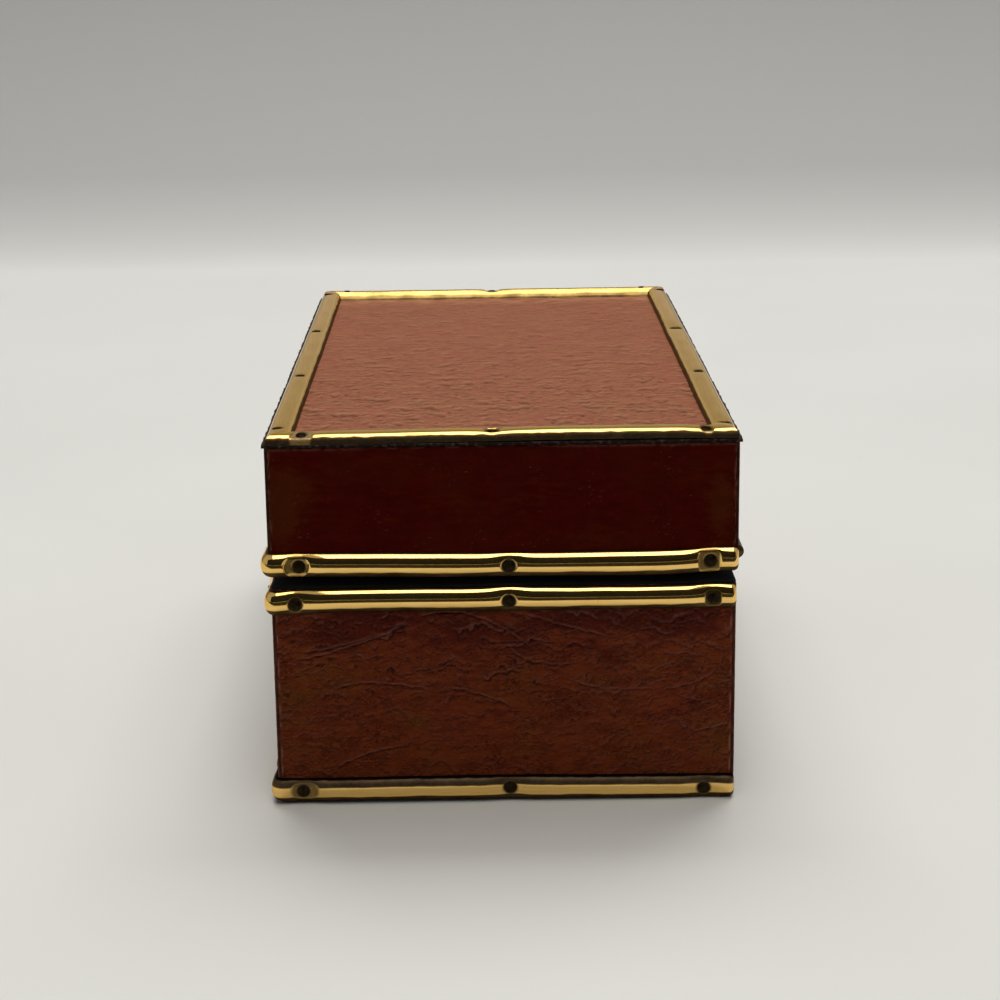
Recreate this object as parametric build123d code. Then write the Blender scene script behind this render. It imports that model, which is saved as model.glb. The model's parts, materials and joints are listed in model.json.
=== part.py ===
from build123d import *
import os

# A leather-covered wooden box with a hinged lid, trimmed with hollow half-round brass strips and nails.
# Millimetres. +Z is up, X is the width with the hinges on the +X side, Y is the length.
# The origin is the centre of the underside.

# Overall sizes, over the leather
width = 90.0
length = 170.0
base_height = 44.3
lid_height = 26.0
rim_gap = 2.1
base_setback = 0.3

# Boards
wall_board = 5.0
floor_board = 4.0
top_board = 4.0

# Leather, cloth and felt
side_leather = 0.6
top_leather = 0.6
top_leather_overhang = 0.3
corner_radius = 1.0
rim_lining = 0.4
underside_felt = 0.8
felt_pad = 1.0
felt_pad_clearance = 0.2
liner = 1.5

# Brass strips: hollow half-rounds
side_strip_width = 4.8
side_strip_rise = 1.5
top_strip_width = 4.8
top_strip_rise = 2.0
long_top_strip_inset = 0.6
base_rim_strip_drop = 0.45
strip_sheet = 0.45

# Nails of the strips
nail_head_radius = 1.2
nail_head_rise = 0.6
nail_shank_radius = 0.5
nail_depth = 4.0
nail_point = 1.2
nail_seat_drop = 0.25
nail_seat_clearance = 0.1
nails_along_length = 4
nails_across_width = 3
end_nail_margin = 5.2
front_nail_margin = 8.0
top_long_nail_margin = 8.0
top_short_nail_margin = 6.6

# Hinges
hinge_length = 22.0
hinge_margin = 17.0
hinge_sheet = 0.6
hinge_pin_radius = 0.7
hinge_barrel_radius = 1.4
hinge_bore_clearance = 0.05
hinge_wall_clearance = 0.25
hinge_knuckle_gap = 0.2
hinge_notch_clearance = 0.3
hinge_liner_clearance = 0.5
hinge_pin_head_radius = 1.1
hinge_pin_head_rise = 0.3
hinge_nail_head_radius = 0.95
hinge_nail_head_rise = 0.25
hinge_nail_shank_radius = 0.4
hinge_nail_depth = 3.6
hinge_nail_point = 1.0
hinge_nail_count = 3
hinge_nail_margin = 3.5

# Levels and half sizes that follow from them
rim_level = base_height
meeting_level = rim_level + rim_gap / 2
lid_rim_level = rim_level + rim_gap
top_level = lid_rim_level + lid_height
lid_half_x = width / 2
lid_half_y = length / 2
base_half_x = lid_half_x - base_setback
base_half_y = lid_half_y - base_setback
top_half_x = lid_half_x + top_leather_overhang
top_half_y = lid_half_y + top_leather_overhang
top_strips_half_x = top_half_x - long_top_strip_inset
hinge_axis_x = lid_half_x + hinge_wall_clearance + hinge_barrel_radius

parts = {}


def block(x, y, z):
    """A block between the low and high values of each axis."""
    spans = (x, y, z)
    centre = [(low + high) / 2 for low, high in spans]
    size = [high - low for low, high in spans]
    return Pos(*centre) * Box(*size)


def rounded_block(half_x, half_y, z):
    """A block with round upright corners."""
    low, high = z
    return Pos(0, 0, low) * extrude(RectangleRounded(2 * half_x, 2 * half_y, corner_radius), high - low)


def four_walls(half_x, half_y, thickness, z, ends_outside):
    """Front, back and two end panels. The ends run full width, or stand between the long panels."""
    inner_x = half_x - thickness
    inner_y = half_y - thickness
    end_x = half_x if ends_outside else inner_x
    long_y = inner_y if ends_outside else half_y
    return {
        "front": block((-half_x, -inner_x), (-long_y, long_y), z),
        "back": block((inner_x, half_x), (-long_y, long_y), z),
        "near_end": block((-end_x, end_x), (-half_y, -inner_y), z),
        "far_end": block((-end_x, end_x), (inner_y, half_y), z),
    }


def strip_section(plane, strip_width, rise):
    """The hollow half-round section of a strip: x runs across the strip and y points out of the box."""
    half = strip_width / 2
    outer = Ellipse(half, rise)
    inner = Ellipse(half - strip_sheet, rise - strip_sheet)
    outward_half = Pos(0, rise) * Rectangle(2 * strip_width, 2 * rise)
    return plane * ((outer - inner) & outward_half)


def side_strip(half_x, half_y, middle_z):
    """A strip along the far end, round the two front corners and along the near end."""
    corner_x = -half_x + corner_radius
    corner_y = half_y - corner_radius
    end_run = half_x - corner_x

    def section(origin, direction):
        plane = Plane(origin=origin, x_dir=(0, 0, 1), z_dir=direction)
        return strip_section(plane, side_strip_width, side_strip_rise)

    def bend(origin, direction, centre_y):
        return revolve(section(origin, direction), Axis((corner_x, centre_y, 0), (0, 0, 1)), 90)

    return (
        extrude(section((half_x, half_y, middle_z), (-1, 0, 0)), end_run)
        + bend((corner_x, half_y, middle_z), (-1, 0, 0), corner_y)
        + extrude(section((-half_x, corner_y, middle_z), (0, -1, 0)), 2 * corner_y)
        + bend((-half_x, -corner_y, middle_z), (0, -1, 0), -corner_y)
        + extrude(section((corner_x, -half_y, middle_z), (1, 0, 0)), end_run)
    )


def top_strip(along_y, sign):
    """A strip on one edge of the lid's top, mitred at both ends."""
    edge = top_strips_half_x if along_y else top_half_y
    half_run = top_half_y if along_y else top_strips_half_x
    middle = sign * (edge - top_strip_width / 2)

    def place(across, along):
        return (across, along) if along_y else (along, across)

    plane = Plane(
        origin=(*place(middle, -half_run), top_level),
        x_dir=(-1, 0, 0) if along_y else (0, 1, 0),
        z_dir=(0, 1, 0) if along_y else (1, 0, 0),
    )
    strip = extrude(strip_section(plane, top_strip_width, top_strip_rise), 2 * half_run)
    inner_edge = edge - top_strip_width
    inner_run = half_run - top_strip_width
    outline = Polyline(
        place(sign * edge, -half_run),
        place(sign * edge, half_run),
        place(sign * inner_edge, inner_run),
        place(sign * inner_edge, -inner_run),
        close=True,
    )
    mitre = extrude(make_face(outline), 2 * top_strip_rise, dir=(0, 0, 1))
    return strip & (Pos(0, 0, top_level) * mitre)


def domed_head(radius, rise):
    """A low dome with its flat side on z = 0."""
    ball_radius = (radius ** 2 + rise ** 2) / (2 * rise)
    ball = Pos(0, 0, rise - ball_radius) * Sphere(ball_radius)
    reach = (-ball_radius, ball_radius)
    return ball & block(reach, reach, (0, rise))


def nail(head_radius, head_rise, shank_radius, depth, point):
    """A nail with a low domed head: its head stands on z = 0 and its pointed shank runs down."""
    shank = Polyline((0, 0), (0, -depth), (shank_radius, point - depth), (shank_radius, 0), close=True)
    return domed_head(head_radius, head_rise) + revolve(Plane.XZ * make_face(shank), Axis.Z, 360)


def at(point, outward, shape):
    """The shape moved from the origin to the point, with its z axis turned outwards."""
    return Plane(origin=point, z_dir=outward).location * shape


def spread(count, half_span):
    """Evenly spaced values from -half_span to half_span."""
    return [half_span * (2 * index / (count - 1) - 1) for index in range(count)]


def boxes_meet(one, other):
    """Whether the bounding boxes of two shapes overlap."""
    first = one.bounding_box()
    second = other.bounding_box()
    return all(
        low < other_high and other_low < high
        for low, high, other_low, other_high in zip(first.min, first.max, second.min, second.max)
    )


def cut(node, cutters):
    """Cuts from a node the cutters that reach it."""
    reaching = [cutter for cutter in cutters if boxes_meet(parts[node], cutter)]
    if reaching:
        parts[node] = parts[node] - reaching


def add_strip_nails(name, seats, rise, strips):
    """Nails that hold a strip: their heads sit in flats cut into its crest, at the seats given."""
    seat_height = rise - nail_seat_drop
    shape = nail(nail_head_radius, nail_head_rise, nail_shank_radius, nail_depth + seat_height, nail_point)
    flat = extrude(Circle(nail_head_radius + nail_seat_clearance), rise)
    nails = []
    flats = []
    for point, outward in seats:
        seat = Vector(*point) + Vector(*outward) * seat_height
        nails.append(at(seat, outward, shape))
        flats.append(at(seat, outward, flat))
    half = name.split("_")[0]
    for node in parts:
        if node in strips:
            cut(node, flats)
            cut(node, nails)
        elif node.startswith(half) and node.endswith(("board", "leather")):
            cut(node, nails)
    parts[name] = Compound(nails)


def side_seats(half_x, half_y, z):
    """Nail places along a side strip, on the front and the two ends."""
    front = [((-half_x, y, z), (-1, 0, 0)) for y in spread(nails_along_length, half_y - front_nail_margin)]
    across = spread(nails_across_width, half_x - end_nail_margin)
    near = [((x, -half_y, z), (0, -1, 0)) for x in across]
    far = [((x, half_y, z), (0, 1, 0)) for x in across]
    return front + near + far


def top_seats():
    """Nail places along the four strips of the lid's top."""
    edge_x = top_strips_half_x - top_strip_width / 2
    edge_y = top_half_y - top_strip_width / 2
    up = (0, 0, 1)
    along = spread(nails_along_length, lid_half_y - top_long_nail_margin)
    across = spread(nails_across_width, lid_half_x - top_short_nail_margin)
    long_sides = [((side * edge_x, y, top_level), up) for side in (-1, 1) for y in along]
    short_sides = [((x, side * edge_y, top_level), up) for side in (-1, 1) for x in across]
    return long_sides + short_sides


def add_shell(half, half_x, half_y, walls_z, leather_z, lining_z, liner_z):
    """The walls of one half of the box, with their leather, rim lining and liners."""
    board_x = half_x - side_leather
    board_y = half_y - side_leather
    hollow_x = board_x - wall_board
    hollow_y = board_y - wall_board
    for side, panel in four_walls(board_x, board_y, wall_board, walls_z, True).items():
        parts[f"{half}_{side}_board"] = panel
    skin = rounded_block(half_x, half_y, leather_z)
    for side, panel in four_walls(half_x, half_y, side_leather, leather_z, False).items():
        parts[f"{half}_{side}_leather"] = panel & skin
    hollow = block((-hollow_x, hollow_x), (-hollow_y, hollow_y), lining_z)
    parts[f"{half}_rim_lining"] = rounded_block(half_x, half_y, lining_z) - hollow
    for side, panel in four_walls(hollow_x, hollow_y, liner, liner_z, False).items():
        parts[f"{half}_{side}_liner"] = panel
    return board_x, board_y, hollow_x - liner - felt_pad_clearance, hollow_y - liner - felt_pad_clearance


def knuckle_spans(start):
    """The three knuckles of a hinge that starts at the given y."""
    knuckle = (hinge_length - 2 * hinge_knuckle_gap) / 3
    step = knuckle + hinge_knuckle_gap
    return [(start + index * step, start + index * step + knuckle) for index in range(3)]


def along_hinge(radius, span):
    """A round bar on the hinge's axis."""
    low, high = span
    plane = Plane(origin=(hinge_axis_x, low, meeting_level), z_dir=(0, 1, 0))
    return extrude(plane * Circle(radius), high - low)


def hinge_leaf(start, sheet_z, own, others, bore_radius):
    """A leaf that lies on its rim and ends in its own knuckles, notched round the other leaf's."""
    liner_face = base_half_x - side_leather - wall_board
    root = hinge_axis_x - (hinge_pin_radius + hinge_barrel_radius) / 2
    leaf = block((liner_face + hinge_liner_clearance, root), (start, start + hinge_length), sheet_z)
    notch_x = hinge_axis_x - hinge_barrel_radius - hinge_notch_clearance
    for low, high in others:
        notch_y = (low - hinge_knuckle_gap, high + hinge_knuckle_gap)
        leaf = leaf - block((notch_x, hinge_axis_x), notch_y, sheet_z)
    for span in own:
        leaf = leaf + along_hinge(hinge_barrel_radius, span)
    return leaf - along_hinge(bore_radius, (start, start + hinge_length))


def hinge_nail_places(start):
    """Where the nails of one leaf stand, over the middle of the back board."""
    x = base_half_x - side_leather - wall_board / 2
    middle = start + hinge_length / 2
    return [(x, middle + y) for y in spread(hinge_nail_count, hinge_length / 2 - hinge_nail_margin)]


# Base: floor, walls, leather, linings and felts
floor_level = underside_felt + floor_board
base_top = rim_level - rim_lining
base_board_x, base_board_y, base_pad_x, base_pad_y = add_shell(
    "base", base_half_x, base_half_y,
    walls_z=(floor_level, base_top),
    leather_z=(underside_felt, base_top),
    lining_z=(base_top, rim_level),
    liner_z=(floor_level, meeting_level),
)
parts["base_floor_board"] = block(
    (-base_board_x, base_board_x), (-base_board_y, base_board_y), (underside_felt, floor_level))
parts["base_underside_felt"] = block(
    (-base_board_x, base_board_x), (-base_board_y, base_board_y), (0, underside_felt))
parts["base_floor_pad"] = block(
    (-base_pad_x, base_pad_x), (-base_pad_y, base_pad_y), (floor_level, floor_level + felt_pad))

# Lid: top, walls, leather, linings and felts
lid_bottom = lid_rim_level + rim_lining
ceiling_level = top_level - top_leather - top_board
lid_board_x, lid_board_y, lid_pad_x, lid_pad_y = add_shell(
    "lid", lid_half_x, lid_half_y,
    walls_z=(lid_bottom, ceiling_level),
    leather_z=(lid_bottom, top_level - top_leather),
    lining_z=(lid_rim_level, lid_bottom),
    liner_z=(meeting_level, ceiling_level),
)
parts["lid_top_board"] = block(
    (-lid_board_x, lid_board_x), (-lid_board_y, lid_board_y), (ceiling_level, top_level - top_leather))
parts["lid_top_leather"] = rounded_block(top_half_x, top_half_y, (top_level - top_leather, top_level))
parts["lid_ceiling_pad"] = block(
    (-lid_pad_x, lid_pad_x), (-lid_pad_y, lid_pad_y), (ceiling_level - felt_pad, ceiling_level))

# Brass strips and their nails
side_strips = {
    "base_foot_strip": (base_half_x, base_half_y, underside_felt + side_strip_width / 2),
    "base_rim_strip": (
        base_half_x, base_half_y, rim_level - base_rim_strip_drop - side_strip_width / 2),
    "lid_rim_strip": (lid_half_x, lid_half_y, lid_rim_level + side_strip_width / 2),
}
for name, (half_x, half_y, middle_z) in side_strips.items():
    parts[name] = side_strip(half_x, half_y, middle_z)
    add_strip_nails(f"{name}_nails", side_seats(half_x, half_y, middle_z), side_strip_rise, [name])
top_strips = {
    "lid_top_strip_front": (True, -1),
    "lid_top_strip_back": (True, 1),
    "lid_top_strip_near": (False, -1),
    "lid_top_strip_far": (False, 1),
}
for name, (along_y, sign) in top_strips.items():
    parts[name] = top_strip(along_y, sign)
add_strip_nails("lid_top_strip_nails", top_seats(), top_strip_rise, list(top_strips))

# Hinges
base_sheet_z = (rim_level, rim_level + hinge_sheet)
lid_sheet_z = (lid_rim_level - hinge_sheet, lid_rim_level)
hinge_starts = {
    "near": hinge_margin - lid_half_y,
    "far": lid_half_y - hinge_margin - hinge_length,
}
leaf_nail = nail(hinge_nail_head_radius, hinge_nail_head_rise, hinge_nail_shank_radius,
                 hinge_nail_depth + hinge_sheet, hinge_nail_point)
pin_head = domed_head(hinge_pin_head_radius, hinge_pin_head_rise)
base_leaf_nails = []
lid_leaf_nails = []
for name, start in hinge_starts.items():
    outer_near, middle, outer_far = knuckle_spans(start)
    base_leaf = f"hinge_{name}_base_leaf"
    lid_leaf = f"hinge_{name}_lid_leaf"
    parts[base_leaf] = hinge_leaf(start, base_sheet_z, [outer_near, outer_far], [middle], hinge_pin_radius)
    parts[lid_leaf] = hinge_leaf(start, lid_sheet_z, [middle], [outer_near, outer_far],
                                 hinge_pin_radius + hinge_bore_clearance)
    end = start + hinge_length
    parts[f"hinge_{name}_pin"] = (
        along_hinge(hinge_pin_radius, (start, end))
        + at((hinge_axis_x, start, meeting_level), (0, -1, 0), pin_head)
        + at((hinge_axis_x, end, meeting_level), (0, 1, 0), pin_head)
    )
    for x, y in hinge_nail_places(start):
        base_leaf_nails.append(at((x, y, base_sheet_z[1]), (0, 0, 1), leaf_nail))
        lid_leaf_nails.append(at((x, y, lid_sheet_z[0]), (0, 0, -1), leaf_nail))
    for node in (base_leaf, "base_rim_lining", "base_back_board"):
        cut(node, base_leaf_nails)
    for node in (lid_leaf, "lid_rim_lining", "lid_back_board"):
        cut(node, lid_leaf_nails)
parts["hinge_base_nails"] = Compound(base_leaf_nails)
parts["hinge_lid_nails"] = Compound(lid_leaf_nails)

os.makedirs("parts", exist_ok=True)
for node, shape in parts.items():
    export_step(shape, f"parts/{node}.step")
print(len(parts), "nodes written")
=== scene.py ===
import json
import math
from dataclasses import dataclass
from functools import partial

import bmesh
import bpy
import numpy as np
from mathutils import Matrix, Vector


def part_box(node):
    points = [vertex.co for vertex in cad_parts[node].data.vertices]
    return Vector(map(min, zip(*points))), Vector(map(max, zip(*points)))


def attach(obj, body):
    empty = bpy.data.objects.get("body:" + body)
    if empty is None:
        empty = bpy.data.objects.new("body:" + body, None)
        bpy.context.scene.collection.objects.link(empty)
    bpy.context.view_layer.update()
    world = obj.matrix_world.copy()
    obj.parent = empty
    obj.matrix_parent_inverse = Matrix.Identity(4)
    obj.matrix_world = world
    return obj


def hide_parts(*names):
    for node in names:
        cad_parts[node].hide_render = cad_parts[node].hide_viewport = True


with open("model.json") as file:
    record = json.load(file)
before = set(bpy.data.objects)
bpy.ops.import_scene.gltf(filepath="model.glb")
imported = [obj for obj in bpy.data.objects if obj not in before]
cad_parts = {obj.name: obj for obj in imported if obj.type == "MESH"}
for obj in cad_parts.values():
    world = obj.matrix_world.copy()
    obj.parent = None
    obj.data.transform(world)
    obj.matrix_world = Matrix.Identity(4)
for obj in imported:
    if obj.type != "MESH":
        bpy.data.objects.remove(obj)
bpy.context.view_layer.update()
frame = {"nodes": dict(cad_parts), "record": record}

# The looks of a leather-covered box with brass strips. Mesh code works in millimetres in the frame's axes:
# +Z up, +X towards the hinges, the near end at -Y.

MM = 0.001
BODY_OF = {node: body for body, nodes in frame["record"]["behaviour"]["bodies"].items() for node in nodes}
SLOT_OF = {row["node"]: row["material_slot"] for row in frame["record"]["subparts"]}

# Sheet of the brass strips, and the bend of their corners
STRIP_SHEET = 0.45
STRIP_BEND = 1.0
# The fold of the leather at its cut edges
LEATHER_EDGE = 0.3
# The round upright corners of the rims
RIM_CORNER = 1.0
# Edges that turn by more than this, in degrees, are shaded as sharp
SHARP_ANGLE = 38


def box_mm(node):
    """Lowest and highest corner of a CAD node, in millimetres."""
    low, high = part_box(node)
    return np.array(low) / MM, np.array(high) / MM


# Noise and small formulas


def fade(value):
    return value ** 3 * (value * (6 * value - 15) + 10)


def step_up(value, low, high):
    """0 below low, 1 above high and a smooth rise between them."""
    share = np.clip((value - low) / (high - low), 0, 1)
    return share * share * (3 - 2 * share)


def noise(x, y, seed):
    """Smooth noise over the plane, about -1 to 1, with one swing per unit."""
    cells = 256
    turns = np.random.default_rng(seed).uniform(0, 2 * math.pi, (cells, cells))
    cell_x = np.floor(x).astype(int)
    cell_y = np.floor(y).astype(int)
    in_x = x - cell_x
    in_y = y - cell_y

    def corner(step_x, step_y):
        turn = turns[(cell_y + step_y) % cells, (cell_x + step_x) % cells]
        return np.cos(turn) * (in_x - step_x) + np.sin(turn) * (in_y - step_y)

    low = corner(0, 0) + (corner(1, 0) - corner(0, 0)) * fade(in_x)
    high = corner(0, 1) + (corner(1, 1) - corner(0, 1)) * fade(in_x)
    return 1.5 * (low + (high - low) * fade(in_y))


def soft_min(one, other, blend):
    """The smaller of two heights, with the step between them rounded over about blend."""
    return -blend * np.logaddexp(-one / blend, -other / blend)


def bump_at(distance, reach):
    return np.exp(-(distance / reach) ** 2)


def weighted(layers, weights):
    return [weight * layer for layer, weight in zip(layers, weights)]


def strongest(layers):
    """The highest of several layers at each place."""
    return np.maximum.reduce(layers)


# Meshes


def in_scene(name, data):
    """A new object of the scene."""
    shown = bpy.data.objects.new(name, data)
    bpy.context.scene.collection.objects.link(shown)
    return shown


def new_object(name, points, faces, material):
    """A mesh object, from points in millimetres."""
    mesh = bpy.data.meshes.new(name)
    mesh.from_pydata((np.reshape(points, (-1, 3)) * MM).tolist(), [], faces)
    mesh.materials.append(material)
    return in_scene(name, mesh)


def make_piece(node, points, faces, material, attributes=None):
    """A piece in place of a CAD node: it rides on the node's body, and the node is hidden."""
    piece = new_object(f"{node}_visual", points, faces, material)
    mesh = piece.data
    for name, values in (attributes or {}).items():
        layer = mesh.attributes.new(name, "FLOAT", "POINT")
        layer.data.foreach_set("value", np.ravel(values).astype(np.float32))
    editable = bmesh.new()
    editable.from_mesh(mesh)
    bmesh.ops.recalc_face_normals(editable, faces=editable.faces)
    editable.to_mesh(mesh)
    editable.free()
    mesh.shade_smooth()
    mesh.set_sharp_from_angle(angle=math.radians(SHARP_ANGLE))
    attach(piece, BODY_OF[node])
    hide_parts(node)
    return piece


def quad_faces(rows, columns, round_rows=False, round_columns=False):
    """Quads over rows of points, closed on themselves in each round direction."""
    index = np.arange(rows * columns).reshape(rows, columns)
    after = np.roll(index, -1, axis=0)
    quads = np.stack([index, after, np.roll(after, -1, axis=1), np.roll(index, -1, axis=1)], axis=-1)
    return quads[:rows - 1 + round_rows, :columns - 1 + round_columns].reshape(-1, 4).tolist()


def edged_lines(half, step, edge):
    """Grid lines from -half to half, close together where the edge turns over."""
    turn = edge * np.array([0, 0.12, 0.35, 0.7, 1.1])
    inner = half - turn[-1]
    middle = np.linspace(-inner, inner, max(2, round(2 * inner / step)) + 1)
    return np.concatenate([turn[:-1] - half, middle, half - turn[:-1][::-1]])


# Each way that a panel can face: its u and v directions, seen from outside
FACINGS = {
    "-y": ((1, 0, 0), (0, 0, 1)),
    "+y": ((-1, 0, 0), (0, 0, 1)),
    "-x": ((0, -1, 0), (0, 0, 1)),
    "+x": ((0, 1, 0), (0, 0, 1)),
    "+z": ((1, 0, 0), (0, 1, 0)),
    "-z": ((-1, 0, 0), (0, 1, 0)),
}


def make_panel(node, facing, material, relief, step, edge, ragged=0.0, seed=0):
    """A sheet in the place of a CAD panel, with relief on the face that shows and turned-over edges.

    relief(u, v, from_edge) gives the height and the other values at each place, by name. u and v are the
    frame's own coordinates.
    """
    low, high = box_mm(node)
    centre = (low + high) / 2
    u_way, v_way = (np.array(way, float) for way in FACINGS[facing])
    out_way = np.cross(u_way, v_way)
    half_u = abs(u_way @ (high - low)) / 2
    half_v = abs(v_way @ (high - low)) / 2
    thickness = abs(out_way @ (high - low))
    u, v = np.meshgrid(edged_lines(half_u, step, edge), edged_lines(half_v, step, edge))
    from_edge = np.minimum(half_u - np.abs(u), half_v - np.abs(v))
    drop = edge - np.sqrt(np.maximum(edge ** 2 - np.maximum(edge - from_edge, 0) ** 2, 0))
    values = relief(u + centre @ u_way, v + centre @ v_way, from_edge)
    height = values.pop("height")
    face = thickness / 2 + height * step_up(from_edge, 0, 1.2) - np.minimum(drop, 0.85 * thickness)
    near_edge_u = step_up(np.abs(u), half_u - 1, half_u)
    near_edge_v = step_up(np.abs(v), half_v - 1, half_v)
    pull_u = ragged * near_edge_u * (0.5 + 0.5 * noise(v / 0.9, u * 0 + 0.5, seed))
    pull_v = ragged * near_edge_v * (0.5 + 0.5 * noise(u / 1.3, v * 0 + 0.5, seed + 1))
    u -= np.sign(u) * pull_u
    v -= np.sign(v) * pull_v

    shifts = ((u, u_way), (v, v_way), (face, out_way))
    front = centre + sum(value.reshape(-1, 1) * way for value, way in shifts)
    index = np.arange(u.size).reshape(u.shape)
    rim = np.concatenate([index[0, :-1], index[:-1, -1], index[-1, :0:-1], index[:0:-1, 0]])
    back = front[rim] - out_way * ((front[rim] - centre) @ out_way + thickness / 2)[:, None]
    below = u.size + np.arange(len(rim))
    walls = np.stack([rim, below, np.roll(below, -1), np.roll(rim, -1)], axis=-1).tolist()
    faces = quad_faces(*u.shape) + walls + [below[::-1].tolist()]
    values.setdefault("cut_edge", 0 * u)
    attributes = {name: np.append(value, 0.0 * below) for name, value in values.items()}
    attributes["cut_edge"][np.append(rim, below)] = 1
    return make_piece(node, np.concatenate([front, back]), faces, material, attributes)


# Leather reliefs: each gives the height and, from 0 to 1, how creased the leather is (painted as shade) and
# how rubbed or lit it is (wear, painted highlights and painted reflections, all paler) at each place. The
# stain goes from -1, where it is purple, to 1, where it is olive.


def wrinkles(u, v, seed, length, spacing, width, least, sway=0.9):
    """Broken wrinkles along u: 1 in the groove of each, and 1 on the ridge just above it."""
    warp = noise(u / length, v / (3 * spacing), seed) + 0.35 * noise(3.3 * u / length, v / spacing, seed + 2)
    warp += 0.14 * noise(10 * u / length, 2 * v / spacing, seed + 3)
    phase = v / spacing + sway * warp
    row = np.round(phase)
    shown = step_up(noise(u / length + 0.37 * row, 1.7 * row, seed + 1), least, least + 0.3)
    above = (phase - row) * spacing
    return shown * bump_at(above, width), shown * bump_at(above - 1.7 * width, 1.2 * width)


def wrinkle_layers(u, v, seed, sizes):
    """The grooves and the ridges of wrinkles of several sizes."""
    return zip(*(wrinkles(u, v, seed + 10 * number, *size) for number, size in enumerate(sizes)))


def edge_rub_and_highlight(u, v, from_edge, seed):
    """The leather is paler in places just inside its cut edges: rubbed wear, with a painted highlight where
    the turned edge meets the light.
    """
    return 0.8 * bump_at(from_edge - 0.2, 0.18) * step_up(noise(u / 2.4, v / 2.4, seed), -0.2, 0.4)


def spots(u, v, places):
    """Soft round spots: the middle, half width and half height of each."""
    return sum(np.exp(-((u - middle_u) / half_u) ** 2 - ((v - middle_v) / half_v) ** 2)
               for middle_u, middle_v, half_u, half_v in places)


# The height at which the near end's upper leather turns over
LID_TOP_EDGE = 71.45
# Olive stains of the near end's leathers, and the darker purple spots of the lower leather, most of them
# along its
# upper band: the middle, half width and half height of each
LID_OLIVE = [(-41.0, 64.0, 5.0, 5.0), (-42.0, 57.0, 3.0, 6.0), (41.5, 60.0, 2.5, 7.0)]
BASE_OLIVE = [(-41.0, 20.0, 5.5, 8.0), (-17.2, 16.3, 3.5, 2.0), (19.0, 24.8, 5.0, 2.0),
              (41.5, 12.5, 4.5, 6.0), (-30.0, 26.0, 8.0, 2.5), (31.0, 28.0, 2.5, 1.2), (42.0, 24.0, 3.0, 3.0)]
BASE_PURPLE = [(20.9, 28.8, 4.0, 2.5), (4.3, 32.0, 3.5, 2.0), (-25.0, 36.4, 9.0, 3.0), (11, 37.0, 9.0, 4.0),
               (27.0, 36.0, 9.0, 3.5), (-34.0, 35.0, 7.0, 4.0), (-8.0, 35.0, 9.0, 5.0), (38, 37.0, 6.0, 3.5)]


def smooth_relief(u, v, from_edge, seed):
    """Tight, nearly smooth leather with a few faint creases and small scuffs."""
    groove, _ = wrinkles(u, v, seed + 5, 7, 2.6, 0.2, 0.25)
    scuffs = step_up(noise(u / 0.8, v / 0.4, seed + 6), 0.5, 0.85)
    scuffs *= step_up(noise(u / 7, v / 5, seed + 7), 0, 0.4)
    swell = 0.05 * noise(u / 14, v / 9, seed) + 0.008 * noise(u / 1.3, v / 1.1, seed + 3)
    rub_and_painted_light = np.maximum(0.55 * scuffs, edge_rub_and_highlight(u, v, from_edge, seed + 8))
    stain = 0.5 * noise(u / 13, v / 8, seed + 9)
    # The crease value is painted shade in the faint creases; the rub value is scuffs with painted edge
    # highlights.
    return {"height": swell - 0.03 * groove, "crease_shade": 0.4 * groove, "rub_and_painted_light": rub_and_painted_light, "stain": stain}


def lid_end_relief(u, v, from_edge, seed):
    """The smooth leather of the lid's near end, with its own stains and a painted highlight along its top
    edge.
    """
    values = smooth_relief(u, v, from_edge, seed)
    values["stain"] = 0.3 * noise(u / 13, v / 8, seed + 9) + spots(u, v, LID_OLIVE)
    # Painted highlight: a pale pink line along the top edge, where it catches the light from above.
    top_edge_highlight = bump_at(v - LID_TOP_EDGE, 0.3) * step_up(np.abs(u + 8), 12, 26)
    top_edge_highlight *= step_up(noise(u / 1.5, 0 * v, 3), -0.6, 0)
    values["rub_and_painted_light"] = np.maximum(values["rub_and_painted_light"], 0.7 * top_edge_highlight)
    return values


# The wrinkles of each leather, from the widest: length, spacing, width, how few, and sometimes their sway
CREASED_WRINKLES = [(9, 2.9, 0.24, 0.05), (4.2, 1.5, 0.18, -0.05), (1.9, 0.9, 0.15, -0.1)]
PEBBLED_WRINKLES = [(4.5, 5.0, 0.8, 0.1, 0.45), (2.6, 2.8, 0.55, 0.0, 0.5), (1.5, 1.7, 0.4, -0.05, 0.5)]


def creased_relief(u, v, from_edge, seed, strength=1.0):
    """Leather that has puckered in long wrinkles, with shorter and finer ones between."""
    grooves, ridges = wrinkle_layers(u, v, seed, CREASED_WRINKLES)
    swell = 0.07 * noise(u / 9, v / 3.2, seed + 30) + 0.05 * noise(u / 3, v / 1.1, seed + 31)
    rise = sum(weighted(ridges, (0.08, 0.06, 0.04)))
    depth = sum(weighted(grooves, (0.16, 0.13, 0.07)))
    # Painted highlight: the ridges are made paler, as if lit from above.
    ridge_highlight = strength * strongest(weighted(ridges, (0.27, 0.162, 0.0945)))
    return {
        "height": strength * (swell + rise - depth) + 0.014 * noise(u / 0.8, v / 0.5, seed + 32),
        # The crease value is painted shade: it darkens the colour in the grooves.
        "crease_shade": (0.35 + 0.65 * strength) * strongest(weighted(grooves, (1, 0.95, 0.75))),
        "rub_and_painted_light": np.maximum(ridge_highlight, edge_rub_and_highlight(u, v, from_edge, seed + 33)),
        "stain": noise(u / 10, v / 4, seed + 34),
    }


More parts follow.
